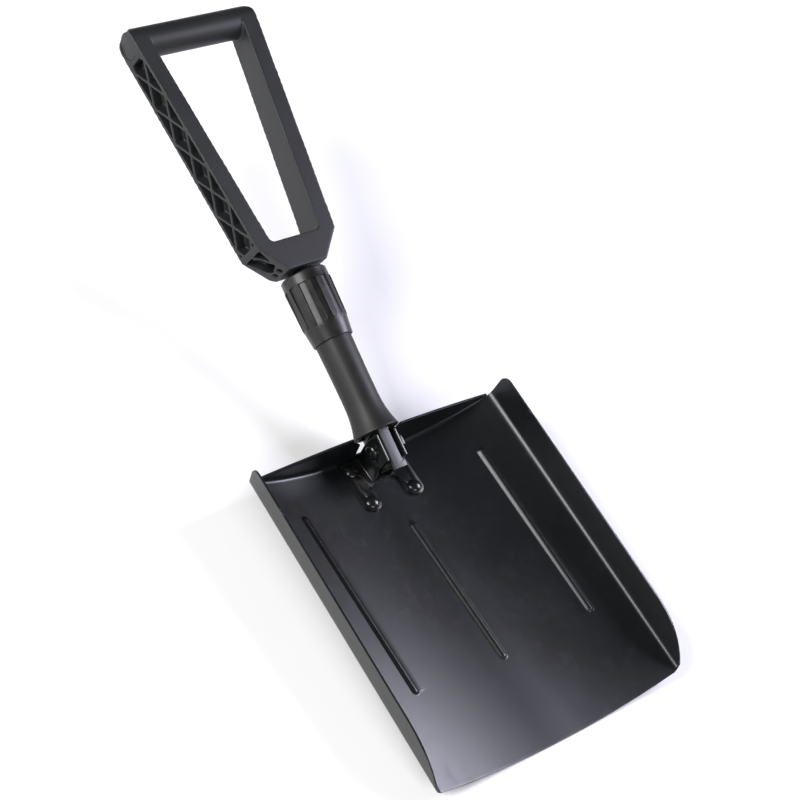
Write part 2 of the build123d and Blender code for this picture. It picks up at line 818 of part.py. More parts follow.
def leg_inner(s):
    """Half-width of the hand opening."""
    return leg_outer(s) - leg_inset


def half_thick(s):
    """Half the D-handle's thickness, which tapers from the yoke to the crossbar."""
    return yoke_thick / 2 + (bar_radius - yoke_thick / 2) * (s - yoke_low) / (bar_at - yoke_low)


def edge_plane(side, start, end):
    """Plane of an outer side face between two (half-width, along) corners: x along it, z outwards."""
    low = FACE.from_local_coords(Vector(side * start[0], start[1], 0))
    high = FACE.from_local_coords(Vector(side * end[0], end[1], 0))
    run = (high - low).normalized()
    return Plane(origin=low, x_dir=run, z_dir=run.cross(above) * side)


yoke_corner = (yoke_half_high, yoke_high)


def lattice_pockets():
    """Triangular pockets of one leg's crossed ribs, in the leg face's own frame."""
    low = half_thick(yoke_high + lattice_low) - flange_wall
    high = half_thick(yoke_high + lattice_high) - flange_wall
    corners = ((lattice_low, -low), (lattice_high, -high), (lattice_high, high), (lattice_low, low))
    with BuildSketch(Plane.XY) as pockets:
        Polygon(*corners, align=None)
        for cell in range(-1, lattice_cells + 1):
            middle = lattice_start + (cell + 0.5) * lattice_pitch
            reach = half_thick(yoke_high + middle) - flange_wall
            for turn in (-1, 1):
                bar = Vector(lattice_pitch, 2 * reach * turn)
                angle = turn * Vector(1, 0, 0).get_angle(bar)
                with Locations(Location((middle, 0, 0), (0, 0, angle))):
                    Rectangle(bar.length + lattice_bar, lattice_bar, mode=Mode.SUBTRACT)
    return pockets.sketch


def yoke_pockets():
    """Pockets in the yoke's slanted side, in that face's own frame: one open round the boss, two square."""
    end = Vector(yoke_half_high - yoke_half_low, yoke_high - yoke_low).length - yoke_pocket_end
    reach = half_thick(yoke_high) - flange_wall
    square_x, square_y = yoke_square_spot
    start = square_x + yoke_square / 2 + lattice_bar
    narrow = yoke_square / 2 + square_y
    with BuildSketch(Plane.XY) as pockets:
        Polygon((end, reach), (end, -reach), (start, -narrow), (start, narrow), align=None)
        for turn in (-1, 1):
            with Locations(Location((end, 0, 0), (0, 0, turn * yoke_rib_angle))):
                Rectangle(2 * end, yoke_rib, mode=Mode.SUBTRACT)
        with Locations((square_x, square_y), (square_x, -square_y)):
            Rectangle(yoke_square, yoke_square)
    return pockets.sketch


with BuildPart() as handle_frame:
    with BuildSketch(FACE.offset(-yoke_thick)) as outline:
        with BuildLine():
            top_corner = (bar_half_length, bar_at + bar_radius)
            Polyline(
                (0, yoke_low),
                (yoke_half_low, yoke_low),
                yoke_corner,
                (leg_half_top, leg_top),
                (bar_half_length, bar_at),
                top_corner,
                (0, bar_at + bar_radius),
                close=True,
            )
        make_face()
        fillet(outline.vertices().sort_by_distance(top_corner)[0], frame_corner)
        mirror(about=Plane.YZ)
    extrude(amount=2 * yoke_thick)
    with BuildSketch(SIDE.offset(-2 * leg_half_top)):
        Polygon(
            (yoke_low, -yoke_thick / 2),
            (bar_at, -bar_radius),
            (bar_at, bar_radius),
            (yoke_low, yoke_thick / 2),
            align=None,
        )
        with Locations((bar_at, 0)):
            Circle(bar_radius)
    extrude(amount=4 * leg_half_top, mode=Mode.INTERSECT)
    # hand opening
    with BuildSketch(FACE.offset(-yoke_thick)) as opening:
        with BuildLine():
            low_corner = (leg_inner(opening_low), opening_low)
            Polyline((0, opening_low), low_corner, (leg_inner(bar_at), bar_at), (0, bar_at), close=True)
        make_face()
        fillet(opening.vertices().sort_by_distance(low_corner)[0], opening_corner)
        mirror(about=Plane.YZ)
    extrude(amount=2 * yoke_thick, mode=Mode.SUBTRACT)
    # near half of the crossbar, then its hollow core and a seat for a cap at each end
    with BuildSketch(SIDE.offset(-leg_inner(bar_at) - bar_overlap)):
        with Locations((bar_at, 0)):
            Circle(bar_radius)
        with Locations((bar_at - bar_radius, 0)):
            Rectangle(2 * bar_radius, 2 * bar_radius, mode=Mode.INTERSECT)
    extrude(amount=2 * (leg_inner(bar_at) + bar_overlap))
    with BuildSketch(SIDE.offset(-bar_half_length - past)):
        with Locations((bar_at, 0)):
            Circle(core_radius)
    extrude(amount=2 * (bar_half_length + past), mode=Mode.SUBTRACT)
    for x in (-bar_half_length - past, bar_half_length - cap_thickness - cap_recess):
        with BuildSketch(SIDE.offset(x)):
            with Locations((bar_at, 0)):
                Circle(cap_radius + slip)
        extrude(amount=cap_thickness + cap_recess + past, mode=Mode.SUBTRACT)
    # slot for the shaft's tongue, and room behind the hinge for the collar to swing through
    with BuildSketch(SIDE.offset(-tongue_half - tongue_play)):
        slot_top = hinge_above + tongue_arm + side_play
        with Locations(((yoke_low + opening_low) / 2, slot_top - yoke_thick)):
            Rectangle(opening_low - yoke_low + 2 * past, 2 * yoke_thick)
    extrude(amount=2 * (tongue_half + tongue_play), mode=Mode.SUBTRACT)
    with BuildSketch(SIDE.offset(-leg_inner(opening_low))):
        with Locations(((yoke_low + opening_low) / 2, hinge_above - yoke_thick)):
            Rectangle(opening_low - yoke_low + past, 2 * yoke_thick)
        with Locations((hinge_at, hinge_above)):
            Circle(swing_room, mode=Mode.SUBTRACT)
    extrude(amount=2 * leg_inner(opening_low), mode=Mode.SUBTRACT)
    # rib lattice in the legs and pockets in the yoke
    for side in (-1, 1):
        leg_face = edge_plane(side, yoke_corner, (leg_half_top, leg_top)).offset(past)
        extrude(leg_face * lattice_pockets(), amount=-lattice_depth - past, mode=Mode.SUBTRACT)
        yoke_face = edge_plane(side, (yoke_half_low, yoke_low), yoke_corner).offset(past)
        extrude(yoke_face * yoke_pockets(), amount=-yoke_pocket_depth - past, mode=Mode.SUBTRACT)
    for x in (-cheek_out - boss_height, cheek_out):
        with BuildSketch(hinge_side(x)):
            Circle(boss_radius)
        extrude(amount=boss_height)
    # hinge bolt hole, and the recesses for its head and nut
    with BuildSketch(hinge_side(-leg_half_top)):
        Circle(hinge_radius)
    extrude(amount=2 * leg_half_top, mode=Mode.SUBTRACT)
    for x in (-cheek_out - leg_half_top, cheek_out):
        with BuildSketch(hinge_side(x)):
            Circle(hinge_head_radius + head_room)
        extrude(amount=leg_half_top, mode=Mode.SUBTRACT)
handle_frame.part.label = "handle_frame"
export_step(handle_frame.part, "parts/handle_frame.step")

with BuildPart() as crossbar_caps:
    for x in (-bar_half_length + cap_recess, bar_half_length - cap_recess - cap_thickness):
        with BuildSketch(SIDE.offset(x)):
            with Locations((bar_at, 0)):
                Circle(cap_radius)
        extrude(amount=cap_thickness)
crossbar_caps.part.label = "crossbar_caps"
export_step(crossbar_caps.part, "parts/crossbar_caps.step")

with BuildPart() as handle_hinge_bolt:
    with BuildSketch(hinge_side(-cheek_out)):
        Circle(hinge_radius)
    extrude(amount=2 * cheek_out + hinge_nut_height + hinge_bolt_tail)
    revolve(
        head_plane(-cheek_out, hinge_at, hinge_above) * head_profile(hinge_head_radius, hinge_head_height),
        axis=cross_axis(hinge_at, hinge_above),
    )
    with BuildSketch(hinge_side(-cheek_out - hinge_head_height)):
        RegularPolygon(radius=hinge_socket, side_count=6, major_radius=False)
    extrude(amount=socket_depth, mode=Mode.SUBTRACT)
handle_hinge_bolt.part.label = "handle_hinge_bolt"
export_step(handle_hinge_bolt.part, "parts/handle_hinge_bolt.step")

with BuildPart() as handle_hinge_nut:
    add(hex_nut(hinge_side(cheek_out), hinge_nut_flats, hinge_radius, hinge_nut_height))
handle_hinge_nut.part.label = "handle_hinge_nut"
export_step(handle_hinge_nut.part, "parts/handle_hinge_nut.step")

with BuildPart() as friction_washers:
    thin = tongue_play - 2 * slip
    for x in (-tongue_half - tongue_play, tongue_half + tongue_play - thin):
        add(washer(hinge_side(x), tongue_arm - side_play, hinge_radius, thin))
friction_washers.part.label = "friction_washers"
export_step(friction_washers.part, "parts/friction_washers.step")
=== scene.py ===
"""Looks of the camp shovel: its blade, bracket, shaft, collar and D-handle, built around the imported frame.

Lengths are in metres, in the frame's own axes: +X to the right, +Y from the blade to the handle, +Z up.
The shaft leans up from the blade pivot, and "along" and "above" are measured from that pivot.
"""

import json
import logging
import math
from dataclasses import dataclass, field
from enum import Enum
from typing import Any, Iterable, Mapping, Sequence

import bmesh
import bpy
import numpy as np
from mathutils import Matrix, Vector


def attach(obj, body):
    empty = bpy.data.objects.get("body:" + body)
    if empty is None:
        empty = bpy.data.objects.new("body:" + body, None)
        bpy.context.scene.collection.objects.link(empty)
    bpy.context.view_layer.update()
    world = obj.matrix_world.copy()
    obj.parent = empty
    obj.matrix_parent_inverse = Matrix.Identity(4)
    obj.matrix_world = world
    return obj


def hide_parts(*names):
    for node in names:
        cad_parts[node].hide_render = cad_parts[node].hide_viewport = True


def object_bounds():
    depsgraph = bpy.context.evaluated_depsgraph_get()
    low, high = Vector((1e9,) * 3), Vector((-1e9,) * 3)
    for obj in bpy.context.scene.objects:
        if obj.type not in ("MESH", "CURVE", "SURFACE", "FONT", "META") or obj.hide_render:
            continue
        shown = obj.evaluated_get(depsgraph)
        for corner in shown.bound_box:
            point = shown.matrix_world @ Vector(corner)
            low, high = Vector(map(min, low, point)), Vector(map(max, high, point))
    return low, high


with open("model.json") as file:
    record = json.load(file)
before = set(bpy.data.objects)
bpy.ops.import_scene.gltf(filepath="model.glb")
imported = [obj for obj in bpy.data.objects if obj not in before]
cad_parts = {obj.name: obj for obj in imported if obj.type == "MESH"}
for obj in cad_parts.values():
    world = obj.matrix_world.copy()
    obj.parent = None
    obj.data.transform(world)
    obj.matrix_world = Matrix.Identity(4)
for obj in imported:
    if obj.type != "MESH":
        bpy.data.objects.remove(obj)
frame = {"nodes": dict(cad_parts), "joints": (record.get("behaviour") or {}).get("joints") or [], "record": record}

CAD_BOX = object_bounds()
MM = 0.001

log = logging.getLogger("camp_shovel")

Point = tuple[float, float, float]
Colour = tuple[float, float, float, float]


class Slot(Enum):
    """The record's material slots."""

    POWDER_COAT = "powder_coat_steel"
    BLACK_STEEL = "black_steel"
    BRIGHT_STEEL = "bright_steel"
    BRONZE = "bronze"
    RUBBER = "grip_rubber"
    COLLAR = "collar_plastic"
    HANDLE = "handle_plastic"


class Body(Enum):
    """The bodies that the pieces ride on."""

    BLADE = "blade"
    SHAFT = "shaft"
    LOCK = "lock"
    COLLAR = "collar"
    HANDLE = "handle"


# ------------------------------------------------------------------------------------ shader maths
class Value:
    """A number that varies over a surface, for Python's own operators."""

    def __init__(self, tree: bpy.types.NodeTree, socket: bpy.types.NodeSocket) -> None:
        """Wraps an output socket of a node tree."""
        self.tree = tree
        self.socket = socket

    def _math(self, operation: str, *terms: "Value | float") -> "Value":
        """Adds a Math node.

        Args:
            operation: the node's operation, such as ADD.
            terms: its inputs in order.

        Returns:
            The node's result.
        """
        made = self.tree.nodes.new("ShaderNodeMath")
        made.operation = operation
        for socket, term in zip(made.inputs, terms):
            if isinstance(term, Value):
                self.tree.links.new(term.socket, socket)
            else:
                socket.default_value = term
        return Value(self.tree, made.outputs[0])

    def __add__(self, other: "Value | float") -> "Value":
        """Sum."""
        return self._math("ADD", self, other)

    __radd__ = __add__

    def __sub__(self, other: "Value | float") -> "Value":
        """Difference."""
        return self._math("SUBTRACT", self, other)

    def __rsub__(self, other: float) -> "Value":
        """Difference from a plain number."""
        return self._math("SUBTRACT", other, self)

    def __mul__(self, other: "Value | float") -> "Value":
        """Product."""
        return self._math("MULTIPLY", self, other)

    __rmul__ = __mul__

    def between(self, low: float, high: float) -> "Value":
        """A mask that runs from 0 at low to 1 at high, and stays there.

        Args:
            low: where the mask starts to rise.
            high: where it is full.

        Returns:
            The mask.
        """
        span = (self - low) * (1.0 / (high - low))
        return span._math("MAXIMUM", span._math("MINIMUM", span, 1.0), 0.0)


class Shader:
    """One material under construction, with a Principled shader at its end."""

    def __init__(self, name: str) -> None:
        """Makes an empty material of that name."""
        self.material = bpy.data.materials.new(name)
        self.material.use_nodes = True
        self.tree = self.material.node_tree
        self.tree.nodes.clear()
        self.principled = self.node("ShaderNodeBsdfPrincipled")
        output = self.node("ShaderNodeOutputMaterial", inputs={"Surface": self.principled.outputs[0]})
        output.is_active_output = True
        self.place = self.node("ShaderNodeTexCoord").outputs["Object"]

    def node(
        self,
        kind: str,
        settings: Mapping[str, Any] | None = None,
        inputs: Mapping[str | int, Any] | None = None,
    ) -> bpy.types.Node:
        """Adds a node.

        Args:
            kind: its Blender type.
            settings: its properties.
            inputs: values, sockets or Values by input name or number.

        Returns:
            The node.
        """
        made = self.tree.nodes.new(kind)
        for key, setting in (settings or {}).items():
            setattr(made, key, setting)
        for key, given in (inputs or {}).items():
            if isinstance(given, Value):
                self.tree.links.new(given.socket, made.inputs[key])
            elif isinstance(given, bpy.types.NodeSocket):
                self.tree.links.new(given, made.inputs[key])
            else:
                made.inputs[key].default_value = given
        return made

    def noise(self, size: float, detail: float = 3.0, stretch: Point = (1.0, 1.0, 1.0)) -> Value:
        """Cloudy noise.

        Args:
            size: size of its grains in metres.
            detail: how many finer layers it has.
            stretch: how much finer it is along each axis.

        Returns:
            The noise, about 0.3 to 0.7.
        """
        place = self.node("ShaderNodeMapping", inputs={"Vector": self.place, "Scale": stretch})
        made = self.node(
            "ShaderNodeTexNoise",
            {"noise_dimensions": "3D"},
            {"Vector": place.outputs[0], "Scale": 1.0 / size, "Detail": detail},
        )
        return Value(self.tree, made.outputs["Fac"])

    def pits(self, size: float) -> Value:
        """Distance to the nearest of many scattered grains, for a moulded grain.

        Args:
            size: space between grains in metres.

        Returns:
            The distance, 0 in a grain's middle.
        """
        made = self.node("ShaderNodeTexVoronoi", None, {"Vector": self.place, "Scale": 1.0 / size})
        return Value(self.tree, made.outputs["Distance"])

    def edges(self, low: float, high: float) -> Value:
        """Mask of the outward edges.

        Args:
            low: pointiness where the mask starts.
            high: pointiness where it is full.

        Returns:
            The mask.
        """
        geometry = self.node("ShaderNodeNewGeometry")
        return Value(self.tree, geometry.outputs["Pointiness"]).between(low, high)

    def blend(self, factor: Value, low: Colour, high: Colour) -> bpy.types.NodeSocket:
        """Mixes two colours.

        Args:
            factor: 0 for the first colour and 1 for the second.
            low: the first colour.
            high: the second colour.

        Returns:
            The mixed colour's socket.
        """
        mixed = self.node(
            "ShaderNodeMix",
            {"data_type": "RGBA", "clamp_factor": True},
            {"Factor": factor, 6: low, 7: high},
        )
        return mixed.outputs[2]

    def tint(self, factor: Value, under: bpy.types.NodeSocket, high: Colour) -> bpy.types.NodeSocket:
        """Lays a colour over a colour that already varies.

        Args:
            factor: how much of the new colour shows.
            under: the colour below it.
            high: the new colour.

        Returns:
            The mixed colour's socket.
        """
        mixed = self.node(
            "ShaderNodeMix",
            {"data_type": "RGBA", "clamp_factor": True},
            {"Factor": factor, 6: under, 7: high},
        )
        return mixed.outputs[2]

    def relief(self, height: Value, depth: float, strength: float = 1.0) -> None:
        """Gives the surface a fine relief.

        Args:
            height: the relief, 0 to 1.
            depth: its full depth in metres.
            strength: how much of it shows.
        """
        bump = self.node("ShaderNodeBump", None, {"Height": height, "Distance": depth, "Strength": strength})
        self.tree.links.new(bump.outputs[0], self.principled.inputs["Normal"])

    def finish(self, colour: Any, roughness: Any, **fixed: float) -> bpy.types.Material:
        """Feeds the Principled shader.

        Args:
            colour: base colour, a socket.
            roughness: a Value.
            fixed: other inputs by name, with spaces written as underscores.

        Returns:
            The finished material.
        """
        self.tree.links.new(colour, self.principled.inputs["Base Color"])
        self.tree.links.new(roughness.socket, self.principled.inputs["Roughness"])
        for name, amount in fixed.items():
            self.principled.inputs[name.replace("_", " ")].default_value = amount
        return self.material


def grey(level: float, warmth: float = 0.0) -> Colour:
    """A near-neutral colour.

    Args:
        level: brightness.
        warmth: above 0 leans to brown, below 0 to blue.

    Returns:
        The colour.
    """
    return (level * (1 + warmth), level, level * (1 - warmth), 1.0)


# ------------------------------------------------------------------------------------ finishes
@dataclass(frozen=True)
class PowderCoat:
    """Semi-gloss black powder coat with a fine orange peel."""

    level: float = 0.004
    roughness: float = 0.32
    peel: float = 0.9 * MM

    def build(self) -> bpy.types.Material:
        """The finished material."""
        shader = Shader("powder_coat")
        cloud = shader.noise(60 * MM, 4.0)
        peel = shader.noise(self.peel, 2.0)
        dust = shader.noise(7 * MM, 6.0).between(0.52, 0.75)
        colour = shader.blend(cloud.between(0.3, 0.7), grey(self.level, -0.12), grey(self.level * 1.5, -0.22))
        worn = shader.edges(0.53, 0.6) * (0.35 + 0.5 * dust)
        colour = shader.tint(worn * 0.5, colour, grey(0.14, -0.06))
        shader.relief(peel + 0.25 * shader.noise(9 * MM, 2.0), 0.05 * MM, 0.55)
        roughness = self.roughness + 0.07 * (cloud - 0.5) + 0.05 * dust
        return shader.finish(colour, roughness, IOR=1.5)


@dataclass(frozen=True)
class GlossSteel:
    """Gloss black coating on small steel parts, rubbed thin along the edges."""

    level: float = 0.0035
    roughness: float = 0.24

    def build(self) -> bpy.types.Material:
        """The finished material."""
        shader = Shader("gloss_black_steel")
        cloud = shader.noise(14 * MM, 4.0)
        colour = shader.blend(cloud.between(0.35, 0.7), grey(self.level, -0.05), grey(self.level * 2, -0.1))
        worn = shader.edges(0.57, 0.7)
        colour = shader.tint(worn * 0.5, colour, grey(0.2, -0.04))
        shader.relief(shader.noise(1.4 * MM, 2.0), 0.008 * MM, 0.3)
        roughness = self.roughness + 0.1 * (cloud - 0.5)
        return shader.finish(colour, roughness, IOR=1.5)


@dataclass(frozen=True)
class SatinSteel:
    """Plated steel with a brushed satin surface."""

    level: float = 0.075
    roughness: float = 0.45
    metallic: float = 0.35

    def build(self) -> bpy.types.Material:
        """The finished material."""
        shader = Shader("satin_steel")
        lines = shader.noise(0.5 * MM, 3.0, (9.0, 0.6, 0.6))
        cloud = shader.noise(9 * MM, 3.0)
        dark, light = grey(self.level * 0.85, -0.04), grey(self.level * 1.1, -0.06)
        colour = shader.blend(lines.between(0.3, 0.7), dark, light)
        colour = shader.tint(shader.edges(0.56, 0.68) * 0.4, colour, grey(0.4, -0.03))
        shader.relief(lines, 0.03 * MM, 0.35)
        roughness = self.roughness + 0.14 * (lines - 0.5) + 0.1 * (cloud - 0.5)
        return shader.finish(colour, roughness, Metallic=self.metallic)


@dataclass(frozen=True)
class Bronze:
    """Sintered bronze of the bushes and the collar nut."""

    roughness: float = 0.38

    def build(self) -> bpy.types.Material:
        """The finished material."""
        shader = Shader("sintered_bronze")
        grain = shader.noise(0.6 * MM, 4.0)
        cloud = shader.noise(6 * MM, 3.0)
        colour = shader.blend(cloud.between(0.35, 0.65), (0.42, 0.26, 0.11, 1.0), (0.6, 0.4, 0.19, 1.0))
        shader.relief(grain, 0.04 * MM, 0.5)
        return shader.finish(colour, self.roughness + 0.2 * (grain - 0.5), Metallic=1.0)


@dataclass(frozen=True)
class Rubber:
    """Matt grip rubber with a faint bloom."""

    level: float = 0.008
    roughness: float = 0.5

    def build(self) -> bpy.types.Material:
        """The finished material."""
        shader = Shader("grip_rubber")
        cloud = shader.noise(16 * MM, 5.0)
        grain = shader.noise(0.45 * MM, 3.0)
        dark, light = grey(self.level * 0.85, 0.02), grey(self.level * 1.3, 0.05)
        colour = shader.blend(cloud.between(0.35, 0.68), dark, light)
        colour = shader.tint(shader.edges(0.53, 0.62) * 0.3, colour, grey(0.05, 0.03))
        shader.relief(grain, 0.07 * MM, 0.6)
        roughness = self.roughness + 0.12 * (cloud - 0.5) + 0.08 * (grain - 0.5)
        return shader.finish(colour, roughness, Specular_IOR_Level=0.36)


@dataclass(frozen=True)
class CollarNylon:
    """Satin moulded nylon of the screw collar."""

    level: float = 0.007
    roughness: float = 0.38

    def build(self) -> bpy.types.Material:
        """The finished material."""
        shader = Shader("collar_nylon")
        cloud = shader.noise(7 * MM, 5.0)
        grain = shader.noise(0.5 * MM, 3.0)
        dark, light = grey(self.level * 0.8, 0.02), grey(self.level * 1.5, 0.09)
        colour = shader.blend(cloud.between(0.35, 0.7), dark, light)
        worn = shader.edges(0.54, 0.66) * (0.4 + 0.6 * cloud.between(0.4, 0.6))
        colour = shader.tint(worn * 0.4, colour, grey(0.11, 0.03))
        shader.relief(grain, 0.05 * MM, 0.5)
        roughness = self.roughness + 0.16 * (cloud - 0.5) + 0.06 * (grain - 0.5)
        return shader.finish(colour, roughness, Specular_IOR_Level=0.42)


@dataclass(frozen=True)
class HandleNylon:
    """Matt glass-filled nylon of the D-handle, with a fine spark-eroded grain."""

    level: float = 0.012
    roughness: float = 0.5

    def build(self) -> bpy.types.Material:
        """The finished material."""
        shader = Shader("handle_nylon")
        cloud = shader.noise(22 * MM, 5.0)
        grain = shader.noise(0.55 * MM, 3.0)
        speck = shader.pits(0.9 * MM).between(0.0, 0.55)
        dark, light = grey(self.level * 0.9, -0.04), grey(self.level * 1.12, -0.08)
        colour = shader.blend(cloud.between(0.3, 0.7), dark, light)
        colour = shader.tint(grain.between(0.56, 0.72) * 0.35, colour, grey(self.level * 2.4, -0.03))
        worn = shader.edges(0.52, 0.6) * (0.35 + 0.65 * cloud.between(0.42, 0.6))
        colour = shader.tint(worn * 0.45, colour, grey(0.09, -0.03))
        shader.relief(0.6 * grain + 0.4 * speck, 0.09 * MM, 0.55)
        roughness = self.roughness + 0.12 * (cloud - 0.5) + 0.1 * (grain - 0.5)
        return shader.finish(colour, roughness, Specular_IOR_Level=0.42)


class Finishes:
    """Every finish, built once and handed out by slot."""

    def __init__(self) -> None:
        """Builds the materials."""
        makers: dict[Slot, Any] = {
            Slot.POWDER_COAT: PowderCoat(),
            Slot.BLACK_STEEL: GlossSteel(),
            Slot.BRIGHT_STEEL: SatinSteel(),
            Slot.BRONZE: Bronze(),
            Slot.RUBBER: Rubber(),
            Slot.COLLAR: CollarNylon(),
            Slot.HANDLE: HandleNylon(),
        }
        self.materials = {slot: maker.build() for slot, maker in makers.items()}
        self.by_node = {row["node"]: Slot(row["material_slot"]) for row in frame["record"]["subparts"]}

    def dress(self, piece: bpy.types.Object, slot: Slot) -> None:
        """Gives a new piece its finish.

        Args:
            piece: the piece.
            slot: the record's slot that it stands for.
        """
        piece.data.materials.clear()
        piece.data.materials.append(self.materials[slot])

    def dress_node(self, node: str) -> None:
        """Gives a CAD node that stays in view its finish."""
        for material_slot in frame["nodes"][node].material_slots:
            material_slot.material = self.materials[self.by_node[node]]


# ------------------------------------------------------------------------------------ mesh helpers
def new_piece(name: str, mesh: bpy.types.Mesh) -> bpy.types.Object:
    """Links a mesh to the scene as a piece.

    Args:
        name: the piece's name.
        mesh: its mesh.

    Returns:
        The object.
    """
    piece = bpy.data.objects.new(name, mesh)
    bpy.context.scene.collection.objects.link(piece)
    return piece


def bake_modifiers(piece: bpy.types.Object) -> None:
    """Applies every modifier of a piece to its mesh."""
    graph = bpy.context.evaluated_depsgraph_get()
    mesh = bpy.data.meshes.new_from_object(piece.evaluated_get(graph))
    old = piece.data
    piece.modifiers.clear()
    piece.data = mesh
    bpy.data.meshes.remove(old)


def shade(piece: bpy.types.Object, angle: float) -> None:
    """Smooth shading, with edges over an angle kept sharp.

    Args:
        piece: the piece.
        angle: the angle in degrees.
    """
    mesh = piece.data
    mesh.polygons.foreach_set("use_smooth", [True] * len(mesh.polygons))
    made = bmesh.new()
    made.from_mesh(mesh)
    for edge in made.edges:
        edge.smooth = len(edge.link_faces) != 2 or edge.calc_face_angle() < math.radians(angle)
    made.to_mesh(mesh)
    made.free()
    mesh.update()


def grid_faces(rows: int, columns: int, closed: bool = False) -> list[tuple[int, int, int, int]]:
    """Quads of a grid of points stored row by row.

    Args:
        rows: number of rows.
        columns: number of columns.
        closed: whether the last column joins the first.

    Returns:
        The quads' vertex numbers.
    """
    last = columns if closed else columns - 1
    faces = []
    for low in range(0, (rows - 1) * columns, columns):
        high = low + columns
        for here in range(last):
            after = (here + 1) % columns
            faces.append((low + here, low + after, high + after, high + here))
    return faces


@dataclass
class Softened:
    """A copy of a CAD node with welded, cleaned faces and rounded edges."""

    node: str
    body: Body
    width: float
    segments: int = 2
    angle: float = 28.0
    name: str = ""

    def build(self, finishes: Finishes) -> bpy.types.Object:
        """Builds the piece and puts it on its body.

        Args:
            finishes: where its finish comes from.

        Returns:
            The piece.
        """
        piece = new_piece(self.name or self.node + "_soft", frame["nodes"][self.node].data.copy())
        made = bmesh.new()
        made.from_mesh(piece.data)
        bmesh.ops.remove_doubles(made, verts=made.verts, dist=0.004 * MM)
        bmesh.ops.dissolve_limit(made, angle_limit=math.radians(0.5), verts=made.verts, edges=made.edges)
        made.to_mesh(piece.data)
        made.free()
        for attribute in ("custom_normal", "sharp_edge", "sharp_face"):
            if attribute in piece.data.attributes:
                piece.data.attributes.remove(piece.data.attributes[attribute])
        bevel = piece.modifiers.new("round", "BEVEL")
        bevel.width = self.width
        bevel.segments = self.segments
        bevel.limit_method = "ANGLE"
        bevel.angle_limit = math.radians(self.angle)
        bevel.miter_outer = "MITER_ARC"
        bevel.harden_normals = False
        bake_modifiers(piece)
        shade(piece, 40.0)
        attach(piece, self.body.value)
        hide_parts(self.node)
        finishes.dress(piece, finishes.by_node[self.node])
        log.info("%s: %d faces", piece.name, len(piece.data.polygons))
        return piece


# ------------------------------------------------------------------------------------ shaft frame
@dataclass(frozen=True)
class ShaftFrame:
    """Directions of the shaft, from its slide joint and its pivot."""

    pivot: Vector = field(
        default_factory=lambda: Vector(next(j["pos_m"] for j in frame["joints"] if j["name"] == "blade_fold"))
    )
    along: Vector = field(
        default_factory=lambda: -Vector(next(j["axis"] for j in frame["joints"] if j["name"] == "lock_slide"))
    )

    @property
    def above(self) -> Vector:
        """Direction square to the shaft, away from the ground."""
        return Vector((1, 0, 0)).cross(self.along)

    def matrix(self) -> Matrix:
        """Matrix from (across, along, above) to the frame's axes."""
        turned = Matrix((Vector((1, 0, 0)), self.along, self.above)).transposed().to_4x4()
        turned.translation = self.pivot
        return turned


